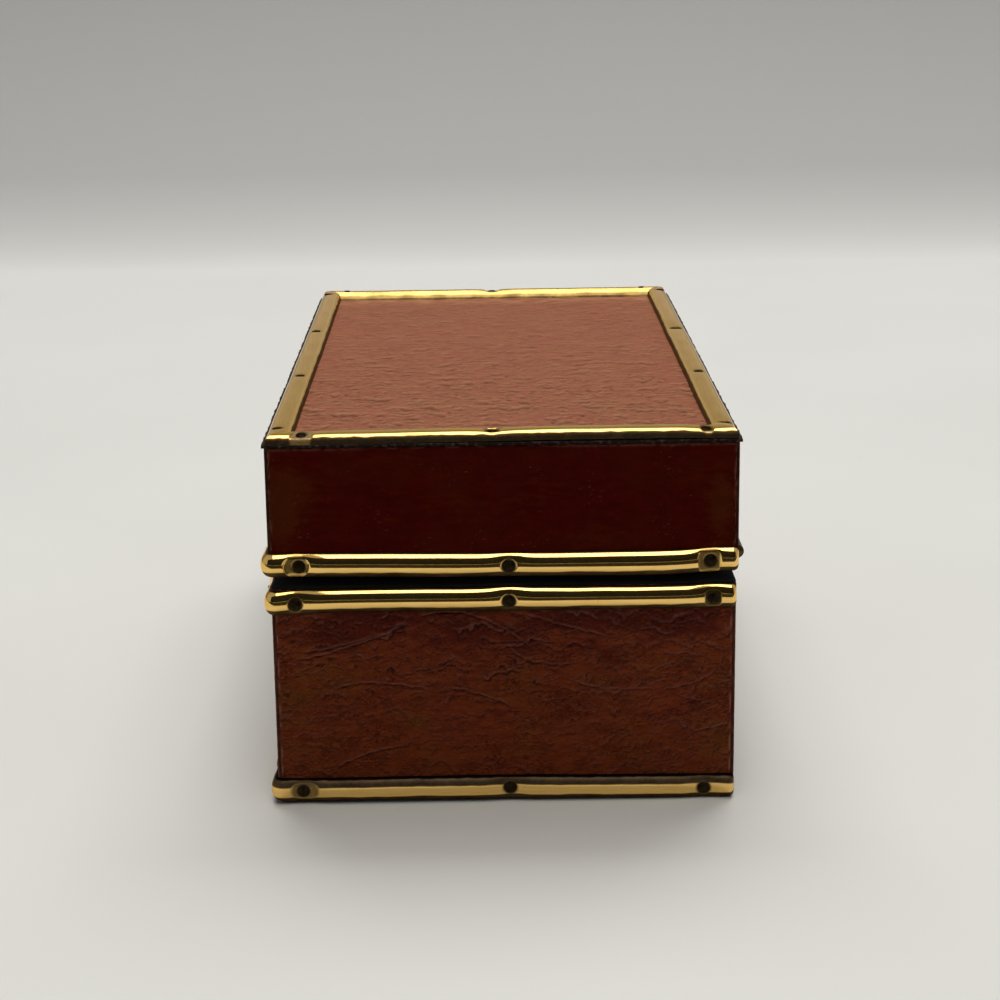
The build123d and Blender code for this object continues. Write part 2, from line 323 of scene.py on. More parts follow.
# The deep folds of the near end's leather: start, middle and end of each, as x and z
NEAR_END_FOLDS = [
    ((-41.6, 29.0), (-28.0, 32.5), (-17.2, 37.3)),
    ((-17.2, 37.3), (-6.0, 37.8), (6.8, 29.8)),
    ((-17.2, 37.3), (-12.0, 38.6), (0.0, 39.0)),
    ((-40.0, 31.0), (-32.0, 32.0), (-24.0, 34.5)),
    ((-34.6, 5.8), (-28.0, 9.5), (-19.0, 11.5)),
    ((3.0, 38.6), (10.0, 36.0), (21.0, 33.0)),
    ((0.0, 32.5), (5.0, 28.5), (14.0, 27.8)),
    ((11.0, 26.0), (18.0, 22.8), (30.0, 22.6)),
    ((30.0, 22.5), (37.0, 23.5), (42.0, 27.5)),
    ((-34.0, 22.5), (-26.0, 24.5), (-14.0, 22.5)),
    ((-12.0, 23.5), (-4.0, 21.5), (2.0, 18.6)),
    ((36.0, 13.2), (40.0, 14.2), (44.0, 15.0)),
]


def near_end_relief(u, v, from_edge, seed):
    """The creased leather of the near end, smoother low down, with its own deep folds and stains."""
    strength = 0.5 + 0.5 * step_up(v, 12, 30)
    values = creased_relief(u, v, from_edge, seed, strength)
    share = np.linspace(0, 1, 60)[:, None]
    wander = 0.4 * noise(u / 3, 0 * v, seed + 40) + 0.3 * noise(u / 1.1, v / 3, seed + 41)
    wander += 0.12 * noise(u / 0.4, v, seed + 42)
    broken = 0.6 + 0.4 * step_up(noise(u / 1.6, v / 1.2, seed + 43), -0.4, 0.3)
    for fold in NEAR_END_FOLDS:
        start, middle, end = np.array(fold)
        curve = start + share * (4 * middle - 3 * start - end) + 2 * share ** 2 * (start - 2 * middle + end)
        above = v + 0.6 * wander - np.interp(u, curve[:, 0], curve[:, 1])
        run = 0.15 * (end[0] - start[0])
        deep = broken * (step_up(u, start[0], start[0] + run) - step_up(u, end[0] - run, end[0]))
        # Each fold paints shade in its groove, through the crease value, and a highlight on its ridge,
        # through the rub value.
        groove = deep * bump_at(above, 0.24)
        ridge = deep * bump_at(above - 0.4, 0.2)
        values["height"] += 0.1 * ridge - 0.26 * groove
        values["crease_shade"] = np.maximum(values["crease_shade"], groove)
        values["rub_and_painted_light"] = np.maximum(values["rub_and_painted_light"], 0.42 * ridge)
    along, above = 0.9 * u + 0.42 * v, 0.9 * v - 0.42 * u
    place = step_up(u + 5 * noise(u / 8, v / 6, seed + 50), 8, 18) * (1 - 0.7 * step_up(v, 28, 34))
    slanting, slanting_ridge = wrinkles(along, above, seed + 51, 2.4, 1.15, 0.17, -0.1)
    # The slanting wrinkles paint shade in their grooves and a highlight on their ridges.
    values["height"] += place * (0.07 * slanting_ridge - 0.09 * slanting)
    values["crease_shade"] = np.maximum(values["crease_shade"] * (1 - 0.4 * place), 0.75 * place * slanting)
    values["rub_and_painted_light"] = np.maximum(values["rub_and_painted_light"], 0.14 * place * slanting_ridge)
    values["stain"] = 0.4 * values["stain"] + 0.6 * spots(u, v, BASE_OLIVE) - spots(u, v, BASE_PURPLE)
    return values


def pebbled_relief(u, v, from_edge, seed):
    """Worn leather with short wrinkles across the box, deeper towards the near end."""
    grooves, ridges = wrinkle_layers(u, v, seed, PEBBLED_WRINKLES)
    dashes = step_up(noise(u / 1.2, v, seed + 25), 0.3, 0.6)
    dashes *= step_up(noise(u / 9, v / 9, seed + 26), -0.3, 0.3)
    hollows = [*grooves, dashes]
    strength = 1.0 - 0.5 * step_up(v, -60, 40)
    swell = 0.08 * noise(u / 7, v / 5, seed + 30) + 0.08 * noise(u / 2.2, v / 2.2, seed + 31)
    rise = sum(weighted(ridges, (0.1, 0.09, 0.06)))
    depth = sum(weighted(hollows, (0.2, 0.16, 0.08, 0.1)))
    # Painted highlight: the ridges are made paler, as if lit from above.
    ridge_highlight = strength * strongest(weighted(ridges, (0.36, 0.36, 0.28)))
    scratches = step_up(noise(u / 1.7, v / 0.6, seed + 32), 0.55, 0.9)
    # Painted reflection: a blotchy orange glow on the leather just before the far strip, cast back by its
    # brass.
    far_strip_reflection = step_up(v, 69, 76) * (0.3 + 0.3 * noise(u / 4, v / 4, seed + 33))
    return {
        "height": strength * (swell + rise - depth),
        # The crease value is painted shade in the hollows.
        "crease_shade": 1.1 * strength * strongest(weighted(hollows, (1, 0.8, 0.5, 0.9))),
        "rub_and_painted_light": strongest([ridge_highlight, 0.3 * scratches, far_strip_reflection]),
        "stain": 0.6 * noise(u / 16, v / 9, seed + 34),
        # The near-black cut edge band is partly the raw edge and partly painted shadow under the strips.
        "cut_edge": 1 - step_up(from_edge, 0.7, 1.0),
    }


def felt_relief(u, v, from_edge, seed):
    return {"height": 0.03 * noise(u / 1.6, v / 1.6, seed) - 0.03}


# Nails


def nail_places(node):
    """Where the middle of each nail of a CAD node is."""
    joined = bmesh.new()
    joined.from_mesh(frame["nodes"][node].data)
    bmesh.ops.remove_doubles(joined, verts=joined.verts, dist=1e-6)
    left = set(joined.verts)
    places = []
    while left:
        group = [left.pop()]
        # The group grows while it is gone through
        for vertex in group:
            fresh = {edge.other_vert(vertex) for edge in vertex.link_edges} & left
            left -= fresh
            group += fresh
        points = [np.array(vertex.co) / MM for vertex in group]
        places.append((np.min(points, axis=0) + np.max(points, axis=0)) / 2)
    joined.free()
    return places


@dataclass
class Dent:
    """A nail in a strip and the dent that it sits in, in the strip's own coordinates."""

    along: float
    across: float
    half_length: float
    half_height: float
    depth: float
    tarnish: float
    power: float = 2.0
    shift: float = 0.0
    dust: float = 0.0
    flatten: float = 0.35
    tilt: float = 0.0

    def distance(self, along, across):
        """0 in the middle of the dent and 1 at its rim."""
        beside_length = np.abs(along - self.along - self.shift) / self.half_length
        beside_height = np.abs(across - self.across) / self.half_height
        return (beside_length ** self.power + beside_height ** self.power) ** (1 / self.power)


NAIL_RADIUS = 1.15
NAIL_RISE = 0.22
NAIL_SHANK = 0.5
NAIL_LENGTH = 5.0
NAIL_POINT = 1.2
# A nail whose strip is barely pressed in
SLIGHT = ((1.1, 1.1), 0.06, 0.0, dict(flatten=0.02))
# The last nails of each strip as driven, in order: how far each has slipped along and across the strip, its
# dent's half length and half height, depth and tarnish, and what else it has of its own
DRIVEN_NAILS = {
    "lid_rim_strip": [
        ((0.7, -0.1), (2.35, 2.35), 0.7, 0.45, dict(shift=-0.5)),
        ((1.0, -0.1), (1.3, 1.3), 0.65, 0.6, {}),
        ((-0.2, 0.0), (1.95, 2.3), 0.85, 0.6, dict(power=6.0, shift=-0.2)),
    ],
    "base_rim_strip": [
        ((-0.6, -0.3), (1.5, 1.6), 0.4, 1.0, {}),
        ((0.9, -0.3), (1.3, 1.3), 0.65, 0.6, {}),
        ((0.7, -0.3), (1.6, 1.6), 0.4, 1.0, dict(power=4.0)),
    ],
    "base_foot_strip": [
        ((-0.3, 0.0), (2.7, 1.6), 0.35, 0.6, dict(power=3.0, shift=0.3)),
        ((0.75, 0.1), (1.3, 1.3), 0.6, 0.6, {}),
        ((-0.8, -0.3), (1.35, 1.35), 0.45, 0.1, {}),
    ],
    "lid_top_strip_near": [
        ((0.7, 0.5), (2.1, 2.0), 0.35, 0.45, dict(power=6.0, dust=0.6, flatten=0.05, tilt=0.25)),
        ((-1.8, 0.3), (1.7, 1.4), 0.4, 0.3, dict(power=3.0, flatten=0.1)),
        ((0.2, 0.4), (1.2, 1.8), 0.5, 0.6, dict(power=3.0, dust=0.3, flatten=0.1, tilt=0.2)),
    ],
    "lid_top_strip_far": [
        ((0.0, 1.0), (1.2, 1.2), 0.1, 0.3, dict(flatten=0.0)),
        ((-0.6, 0.9), (1.8, 1.6), 0.5, 0.3, dict(flatten=0.12)),
        ((0.0, 1.0), (1.2, 1.2), 0.1, 0.3, dict(flatten=0.0)),
    ],
    "lid_top_strip_front": [
        ((-2.4, 0.5), *SLIGHT),
        ((-2.6, 0.0), *SLIGHT),
        ((-0.6, 0.2), *SLIGHT),
        ((2.4, 0.8), *SLIGHT),
    ],
    "lid_top_strip_back": [
        ((-2.6, 0.3), (1.4, 1.4), 0.2, 0.0, dict(flatten=0.05)),
        ((-3.8, 0.2), *SLIGHT),
        ((-2.6, 0.0), (1.4, 1.4), 0.25, 0.0, dict(flatten=0.05)),
        ((2.4, 0.8), *SLIGHT),
    ],
}


def make_dents(strip, nails, press):
    """Dents for nails at places along a strip: the last as in the table, the others by chance.

    press is how hard those others were driven, 1 for a full dent.
    """
    chance = np.random.default_rng(sum(map(ord, strip)))
    driven = DRIVEN_NAILS[strip]
    first_driven = len(nails) - len(driven)
    dents = []
    for number, along in enumerate(nails):
        slip = chance.uniform(-0.5, 0.5), chance.uniform(-0.2, 0.2)
        size = chance.uniform(1.2, 1.8), chance.uniform(1.2, 1.6)
        power = chance.choice([2.0, 2.0, 5.0])
        own = dict(power=power, shift=chance.uniform(-0.3, 0.3), flatten=0.35 * press)
        depth = press * chance.uniform(0.25, 0.45)
        tarnish = press * chance.uniform(0.3, 0.9)
        if number >= first_driven:
            slip, size, depth, tarnish, own = driven[number - first_driven]
        dents.append(Dent(along + slip[0], slip[1], *size, depth, tarnish, **own))
    return dents


def dent_surface(along, across, out, dents, rise, sheet):
    """Faces of the strip, a sheet below its outer one, pressed in round each nail."""
    for dent in dents:
        out = out * (1 - dent.flatten * bump_at(along - dent.along, 3.0))
    for dent in dents:
        floor = rise - dent.depth - sheet - dent.tilt * (across - dent.across)
        slope = 1.6 * min(dent.half_length, dent.half_height)
        rim = floor + slope * np.maximum(dent.distance(along, across) - 1, 0)
        out = soft_min(out, rim, 0.05)
        from_nail = np.hypot(along - dent.along, across - dent.across)
        seat = floor - 0.12 + 1.4 * np.maximum(from_nail - NAIL_RADIUS - 0.1, 0)
        out = soft_min(out, seat, 0.04)
    return out


def nail_profile():
    """Radius and height of a nail's outline from the middle of its head down to its point."""
    dome = [(NAIL_RADIUS * math.sin(turn), NAIL_RISE * math.cos(turn) ** 0.8)
            for turn in np.radians([0, 12, 24, 36, 48, 60, 70, 80])]
    lip = [(NAIL_RADIUS, 0.0), (0.97 * NAIL_RADIUS, -0.1), (0.8 * NAIL_RADIUS, -0.14)]
    shank = [(NAIL_SHANK, -0.2), (NAIL_SHANK, NAIL_POINT - NAIL_LENGTH), (0.0, -NAIL_LENGTH)]
    return dome + lip + shank


def turned(profile, segments):
    """Points and faces of a profile turned about Z: one point on the axis at each end, rings between."""
    turns = np.arange(segments) * 2 * math.pi / segments
    points = [(0, 0, profile[0][1])]
    for radius, height in profile[1:-1]:
        points += [(radius * math.cos(turn), radius * math.sin(turn), height) for turn in turns]
    last = len(points)
    points.append((0, 0, profile[-1][1]))
    faces = (np.array(quad_faces(len(profile) - 2, segments, round_columns=True)) + 1).tolist()
    for side in range(segments):
        beside = (side + 1) % segments
        faces.append((0, 1 + side, 1 + beside))
        faces.append((last - segments + side, last, last - segments + beside))
    return np.array(points), faces


def make_nails(node, seats, size=1.0):
    """The nails of a node: each seat is where the head's underside rests and the way that it faces."""
    chance = np.random.default_rng(sum(map(ord, node)))
    shape, shape_faces = turned(nail_profile(), 28)
    points = []
    faces = []
    for seat, outward in seats:
        tilt = Vector(outward) + Vector(chance.uniform(-0.05, 0.05, 3))
        turn = np.array(tilt.to_track_quat("Z", "Y").to_matrix())
        local = shape * [size, size, 1]
        wear = noise(local[:, 0] * 1.1 + 40 * chance.random(), local[:, 1] * 1.1, 3)
        local[:, 2] += np.where(local[:, 2] > 0.05, 0.04 * wear, 0)
        faces += [tuple(corner + len(points) * len(shape) for corner in face) for face in shape_faces]
        points.append(local @ turn.T + seat)
    make_piece(node, np.concatenate(points), faces, MATERIALS["nail"])


# Brass strips


def strip_stations(total, places):
    """Where a strip's rings stand: close together near nails, bends and ends."""
    stations = [0.0]
    while stations[-1] < total:
        nearest = min(abs(stations[-1] - place) for place in places)
        stations.append(stations[-1] + min(0.2 + 0.11 * max(0.0, nearest - 2.8), 1.4))
    return np.array(stations) * total / stations[-1]


def section(half_width, rise, squareness, lean, angles):
    """Points across a half-round section.

    It is an ellipse at squareness 2 and flatter above, with tighter shoulders, and may lean to one side.
    """
    turns = np.radians(angles)
    share = np.sign(np.sin(turns)) * np.abs(np.sin(turns)) ** (2 / squareness)
    out = rise * np.abs(np.cos(turns)) ** (2 / squareness)
    return np.stack([half_width * share, out * (1 + lean * share)])


# Squareness and lean of the strips' sections
ROUND = (2.0, 0.0)
FLAT = (2.8, 0.0)
RIDGED = (1.45, 0.4)
# The length over which a strip's end closes
END_LENGTH = 1.1


def make_strip(node, total, bends, dents, half_width, rise, shape, closed_ends, place, darkening):
    """A hollow half-round strip. place(along, across, out) turns its own coordinates into the frame's.

    The last argument, given along and share, gives how dark and dull it is and how dusty, share going from -1
    to 1 across it; past 1 the darkness is a painted black shadow.
    """
    outer = section(half_width, rise, *shape, np.linspace(-90, 90, 41))
    inner = section(half_width - STRIP_SHEET, rise - STRIP_SHEET, *shape, np.linspace(90, -90, 13))
    section_across, section_out = np.concatenate([outer, inner], axis=1)
    is_outer = np.arange(len(section_across)) < outer.shape[1]
    stations = strip_stations(total, [0, total, *bends, *(dent.along for dent in dents)])
    along = stations[:, None] + 0 * section_across
    wave = 1 + 0.03 * noise(along / 11, 0 * along + 0.5, len(node))
    across = section_across * wave
    out = section_out * (2 - wave)
    sheet = np.where(is_outer, 0, STRIP_SHEET)
    out = np.maximum(dent_surface(along, across, out, dents, rise, sheet), 0)
    if closed_ends:
        from_end = np.minimum(along, total - along)
        closing = np.sqrt(1 - np.clip(1 - from_end / END_LENGTH, 0, 1) ** 2)
        out = out * (0.12 + 0.88 * closing)
        across = across * (0.62 + 0.38 * closing)
    wander = 0.07 * noise(along / 23, 0 * along + 3.5, len(node) + 1)
    points = place(along, across + wander, out)
    index = np.arange(along.size).reshape(along.shape)
    ends = [index[0].tolist(), index[-1][::-1].tolist()]
    faces = quad_faces(*along.shape, round_columns=True) + ends
    # A tarnish value up to 1 dulls and browns the brass; above 1 it paints a black shadow.
    tarnish, dust = darkening(along, section_across / half_width)
    for dent in dents:
        ring = np.hypot(along - dent.along, across - dent.across) - NAIL_RADIUS
        inside = 1 - step_up(dent.distance(along, across), 0.85, 1.15)
        tarnish = np.maximum(tarnish * (1 - inside), dent.tarnish * inside)
        dust = np.maximum(dust, dent.dust * inside)
        tarnish = np.maximum(tarnish, min(0.9, 4 * dent.depth) * bump_at(ring, 0.4))
    tarnish = np.where(is_outer, tarnish, 1)
    attributes = {"tarnish": tarnish, "dust": dust * is_outer, "along": along, "across": across}
    make_piece(node, points, faces, MATERIALS["brass_strip"], attributes)


# How far the strips lie above or below their true line along the near end, as x and z
STRIP_LIES = {
    "lid_top_strip_near": [(-44, -0.1), (-24, 0.0), (-9, 0.12), (10, 0.28), (30, 0.28), (44, 0.1)],
    "lid_rim_strip": [(-46, 0.0), (-33.7, -0.06), (-10.6, -0.42), (10.6, -0.5), (31.7, -0.6), (42, 0.0)],
    "base_rim_strip": [(-46, -0.4), (-33.7, 0.15), (-10, 0.0), (31.7, -0.15), (42, 0.0)],
    "base_foot_strip": [(-46, -0.3), (0, -0.3), (40, -0.65)],
}
# How far past the corner a strip is back on its true line, and how far to each side its changes are rounded
LIE_FADE = 30.0
LIE_ROUND = 4.0


def make_side_strip(node, darkening):
    """A strip along the far end, round the two front corners and along the near end, with its nails."""
    low, high = box_mm(node)
    half_x = high[0]
    rise = -low[0] - half_x
    half_y = high[1] - rise
    middle_z = (low[2] + high[2]) / 2
    half_width = (high[2] - low[2]) / 2
    core_x = half_x - STRIP_BEND
    core_y = half_y - STRIP_BEND
    arc = math.pi / 2 * STRIP_BEND
    end_run = half_x + core_x
    knots = np.cumsum([0, end_run, arc, 2 * core_y, arc, end_run])
    path_x = [half_x, -core_x, -core_x, -core_x, -core_x, half_x]
    path_y = [core_y, core_y, core_y, -core_y, -core_y, -core_y]
    path_turn = np.radians([90, 90, 180, 180, 270, 270])
    lie_x, lie_z = np.array(STRIP_LIES[node]).T
    lie_along = np.append([knots[3] - LIE_FADE, knots[3]], knots[4] + core_x + lie_x[1:])
    lie_heights = np.append(0, lie_z)

    def place(along, across, out):
        turn = np.interp(along, knots, path_turn)
        reach = STRIP_BEND + out
        x = np.interp(along, knots, path_x) + reach * np.cos(turn)
        y = np.interp(along, knots, path_y) + reach * np.sin(turn)
        shifts = np.linspace(-LIE_ROUND, LIE_ROUND, 9)
        lie = np.mean([np.interp(along + shift, lie_along, lie_heights) for shift in shifts], axis=0)
        return np.stack([x, y, middle_z + across + lie], axis=-1)

    samples = np.linspace(0, knots[-1], 3600)
    line = place(samples, 0 * samples, 0 * samples)
    found = [samples[np.argmin(np.linalg.norm((line - centre)[:, :2], axis=1))]
             for centre in nail_places(f"{node}_nails")]
    dents = make_dents(node, sorted(found), 1.0)
    bends = (knots[1:3].mean(), knots[3:5].mean())
    make_strip(node, knots[-1], bends, dents, half_width, rise, ROUND, True, place, darkening)
    make_nails(f"{node}_nails", strip_seats(dents, rise, place))


def strip_seats(dents, rise, place):
    """Where each nail's head rests in its dent, and the way it faces."""
    seats = []
    for dent in dents:
        seat_height = rise - dent.depth - 0.1
        out, aside = np.array([(0, 1, 0), (0, 0, 1)])
        inner, outer, beside = place(np.full(3, dent.along), dent.across + aside, out)
        outward = outer - inner
        seats.append((inner + outward * seat_height, outward + dent.tilt * (beside - inner)))
    return seats


# How far from its end a strip of the top starts to narrow towards the mitre
MITRE_REACH = 7.0


def make_top_strips():
    """The four mitred strips of the lid's top, and their nails."""
    seats = []
    all_nails = nail_places("lid_top_strip_nails")
    for side, along_axis, sign, shape, darkening in (
            ("front", 1, -1, FLAT, long_darkening), ("back", 1, 1, FLAT, long_darkening),
            ("far", 0, 1, RIDGED, far_darkening), ("near", 0, -1, FLAT, near_darkening)):
        node = f"lid_top_strip_{side}"
        lie_x, lie_z = np.array(STRIP_LIES.get(node, [(0.0, 0.0)])).T
        low, high = box_mm(node)
        across_axis = 1 - along_axis
        half_run = high[along_axis]
        half_width = (high[across_axis] - low[across_axis]) / 2
        middle = (high[across_axis] + low[across_axis]) / 2
        rise = high[2] - low[2]

        def place(along, across, out):
            from_middle = along - half_run
            mitre = np.clip(1 + (np.abs(from_middle) - half_run) / MITRE_REACH, 0, 1)
            mitred = from_middle - np.sign(from_middle) * mitre * (half_width - across)
            flat = mitred, middle + sign * across
            z = low[2] + out + np.interp(mitred, lie_x, lie_z)
            return np.stack([flat[along_axis], flat[across_axis], z], axis=-1)

        samples = np.linspace(0, 2 * half_run, 900)
        line = place(samples, 0 * samples, 0 * samples)[:, along_axis]
        found = [np.interp(centre[along_axis], line, samples) for centre in all_nails
                 if abs(centre[across_axis] - middle) < half_width
                 and abs(centre[along_axis]) < half_run - half_width]
        dents = make_dents(node, sorted(found), 0.15)
        make_strip(node, 2 * half_run, (), dents, half_width, rise, shape, False, place, darkening)
        seats += strip_seats(dents, rise, place)
    make_nails("lid_top_strip_nails", seats, 0.85)


def side_darkening(along, share):
    """The rim strips are dark brown and dull along their lower edge, and in a thin line at the upper one."""
    lower = step_up(-share + 0.06 * noise(along / 4, share, 8), 0.46, 0.58)
    upper = step_up(share, 0.9, 0.97)
    return np.maximum(lower, upper), 0 * along


def foot_darkening(along, share):
    """The foot strip is dull above its crest, painted black along its top for the shadow of the gap above it,
    and dark brown and dull along its lower edge.
    """
    above = 0.95 * step_up(share + 0.04 * noise(along / 3, share, 8), 0.24, 0.38)
    # Painted shadow: 2 along the top, where the gap above the strip is in shade, turns the brass black.
    top = 2 * step_up(share + 0.04 * noise(along / 2, share, 10), 0.76, 0.9)
    lower = step_up(-share + 0.06 * noise(along / 4, share, 9), 0.5, 0.62)
    return strongest([above, lower, top]), 0.2 * above * (1 - top / 2)


def near_darkening(along, share):
    """The near strip of the top is dark brown and dull low on its outer side, with a little dust."""
    outer = step_up(share + 0.05 * noise(along / 2, share, 8), 0.8, 0.9)
    return 0.85 * outer, 0.15 * step_up(share, 0.9, 0.95)


def far_darkening(along, share):
    """The far strip of the top is a little dull all over, and browner towards its inner edge."""
    shady = 0.31 + 0.3 * step_up(-share + 0.08 * noise(along / 5, share, 8), 0.45, 0.7)
    return np.maximum(shady, 0.75 * step_up(-share, 0.8, 0.88)), 0 * along


def long_darkening(along, share):
    """The long strips of the top are brown along both edges where they meet the leather: tarnish, with
    painted shade there.
    """
    inner = step_up(-share + 0.03 * noise(along / 6, share, 8), 0.83, 0.92)
    outer = step_up(share, 0.9, 0.96)
    return np.maximum(inner, outer), 0 * along


# Rim linings


def rounded_outline(half, radius):
    """Points round a rectangle with round corners, about 1 mm apart on its straight sides."""
    arcs = []
    for quarter, signs in enumerate([(1, 1), (-1, 1), (-1, -1), (1, -1)]):
        turns = np.radians(90 * quarter + np.linspace(0, 90, 6))
        arcs.append(signs * (half - radius) + radius * np.stack([np.cos(turns), np.sin(turns)], axis=-1))
    outline = []
    for arc, following in zip(arcs, arcs[1:] + arcs[:1]):
        side = following[0] - arc[-1]
        count = max(1, round(float(np.linalg.norm(side))))
        outline += [*arc, *(arc[-1] + side * np.arange(1, count)[:, None] / count)]
    return np.array(outline)


def make_rim_lining(half, faces_up):
    """The cloth on a rim, between the leather's outer face and the liners, soft at its outer edge."""
    node = f"{half}_rim_lining"
    low, high = box_mm(node)
    hollow = np.array([-box_mm(f"{half}_front_liner")[0][0], -box_mm(f"{half}_near_end_liner")[0][1]])
    outline = rounded_outline(high[:2], RIM_CORNER)
    inner = outline * hollow / high[:2]
    thickness = high[2] - low[2]
    shares = np.array([0, 0, 0.03, 0.09, 0.25, 0.5, 0.75, 1, 1])
    depths = np.array([1, 0.45, 0.15, 0.03, 0, 0, 0, 0, 1]) * thickness
    flat = outline[:, None] * (1 - shares[:, None]) + inner[:, None] * shares[:, None]
    fuzz = 0.05 * (1 + noise(flat[..., 0] / 1.1, flat[..., 1] / 1.1, 77))
    depth = depths + fuzz * (depths < 0.5 * thickness)
    z = high[2] - depth if faces_up else low[2] + depth
    make_piece(node, np.dstack([flat, z]), quad_faces(*z.shape, True, True), MATERIALS["black_lining"])


# Materials


class Nodes:
    """Short ways to add nodes to a node tree. An input is a value or another node's output."""

    def __init__(self, tree):
        self.tree = tree

    def feed(self, node, inputs):
        for name, value in inputs.items():
            if isinstance(value, bpy.types.NodeSocket):
                self.tree.links.new(value, node.inputs[name])
            else:
                node.inputs[name].default_value = value

    def add(self, kind, inputs, output=0, **settings):
        """A new node's output."""
        node = self.tree.nodes.new(kind)
        for name, value in settings.items():
            setattr(node, name, value)
        self.feed(node, inputs)
        return node.outputs[output]

    def place(self, stretch=(1, 1, 1)):
        """The surface's own coordinates in millimetres, stretched along each axis."""
        coordinates = self.add("ShaderNodeTexCoord", {}, "Object")
        scale = [1 / (MM * value) for value in stretch]
        return self.add("ShaderNodeMapping", {"Vector": coordinates, "Scale": scale})

    def attribute(self, name):
        return self.add("ShaderNodeAttribute", {}, "Fac", attribute_name=name)

    def noise(self, place, size, detail=3.0, roughness=0.55):
        inputs = {"Vector": place, "Scale": 1 / size, "Detail": detail, "Roughness": roughness}
        return self.add("ShaderNodeTexNoise", inputs)

    def ramp(self, value, low, high, to_low=0.0, to_high=1.0):
        inputs = {"Value": value, "From Min": low, "From Max": high, "To Min": to_low, "To Max": to_high}
        return self.add("ShaderNodeMapRange", inputs)

    def mixed(self, factor, one, other):
        """A colour between two others."""
        inputs = {0: factor}
        for number, colour in ((6, one), (7, other)):
            inputs[number] = colour if isinstance(colour, bpy.types.NodeSocket) else (*colour, 1)
        return self.add("ShaderNodeMix", inputs, 2, data_type="RGBA")

    def maths(self, operation, one, other=0.0):
        return self.add("ShaderNodeMath", {0: one, 1: other}, operation=operation)

    def plus(self, one, other):
        return self.maths("ADD", one, other)

    def times(self, one, other):
        return self.maths("MULTIPLY", one, other)

    def bumped(self, height, strength, distance):
        inputs = {"Height": height, "Strength": strength, "Distance": distance * MM}
        return self.add("ShaderNodeBump", inputs)


class Material(Nodes):
    """The nodes of a new material."""

    def __init__(self, name):
        self.material = bpy.data.materials.new(name)
        self.material.use_nodes = True
        super().__init__(self.material.node_tree)

    def finish(self, inputs):
        """The material, with its shader fed."""
        self.feed(self.tree.nodes["Principled BSDF"], inputs)
        return self.material


def leather_material(name, tones):
    """Dyed leather: mottled, stained, with painted shade in its creases, paler where rubbed and where
    highlights are painted, with pores and cut edges.
    """
    mat = Material(name)
    place = mat.place()
    drawn_out = mat.place(tones["stretch"])
    broad = mat.noise(place, 14, 4, 0.6)
    middle = mat.noise(drawn_out, 1.3, 5, 0.65)
    fine = mat.noise(place, 0.6, 3, 0.6)
    edge = mat.noise(place, tones["fray"], 2)
    gap = mat.maths("ABSOLUTE", mat.plus(mat.noise(drawn_out, 0.75, 5, 0.65), -0.5))
    broken = mat.ramp(mat.noise(drawn_out, 2.6, 3), 0.42, 0.6, 0, tones["cracks"])
    cracks = mat.times(mat.ramp(gap, 0.035, 0.01), broken)
    stain = mat.plus(mat.attribute("stain"), mat.ramp(middle, 0.3, 0.7, -0.35, 0.35))
    # Painted shade: the creases, together with the dark cracks, are darkened in colour.
    crease_shade_and_cracks = mat.maths("MAXIMUM", mat.ramp(mat.attribute("crease_shade"), 0.1, 0.9, 0, 0.9), cracks)
    # Rubbed wear and painted highlights and reflections: the leather is paler there.
    rubbed_and_painted_light = mat.times(mat.attribute("rub_and_painted_light"), mat.ramp(fine, 0.3, 0.6, 0.5, 1.0))
    shade = mat.mixed(mat.ramp(middle, 0.4, 0.6), tones["dark"], tones["main"])
    for value, low, high, most, tone in (
            (broad, 0.45, 0.7, 0.35, "olive"), (stain, 0.15, 0.9, 0.85, "olive"),
            (stain, -0.15, -0.9, 0.85, "purple"), (fine, 0.5, 0.8, 0.5, "dark"),
            (crease_shade_and_cracks, 0, 1, 1, "crease_shade"), (rubbed_and_painted_light, 0, 1, 1, "rub_and_painted_light")):
        shade = mat.mixed(mat.ramp(value, low, high, 0, most), shade, tones[tone])
    cut = mat.mixed(mat.ramp(edge, 0.5, 0.7), tones["cut"], tones["raw"])
    pores = mat.add("ShaderNodeTexVoronoi", {"Vector": place, "Scale": 1 / PORE_SIZE})
    height = mat.plus(mat.times(pores, 0.6), fine)
    height = mat.plus(height, mat.times(middle, 1.5))
    height = mat.plus(height, mat.times(cracks, -1.5))
    shine = tones["shine"]
    return mat.finish({
        "Base Color": mat.mixed(mat.attribute("cut_edge"), shade, cut),
        "Roughness": mat.ramp(mat.plus(middle, fine), 0.6, 1.4, shine, shine + 0.22),
        "Normal": mat.bumped(height, tones["grain"], 0.08),
        "Specular IOR Level": tones["gloss"],
    })


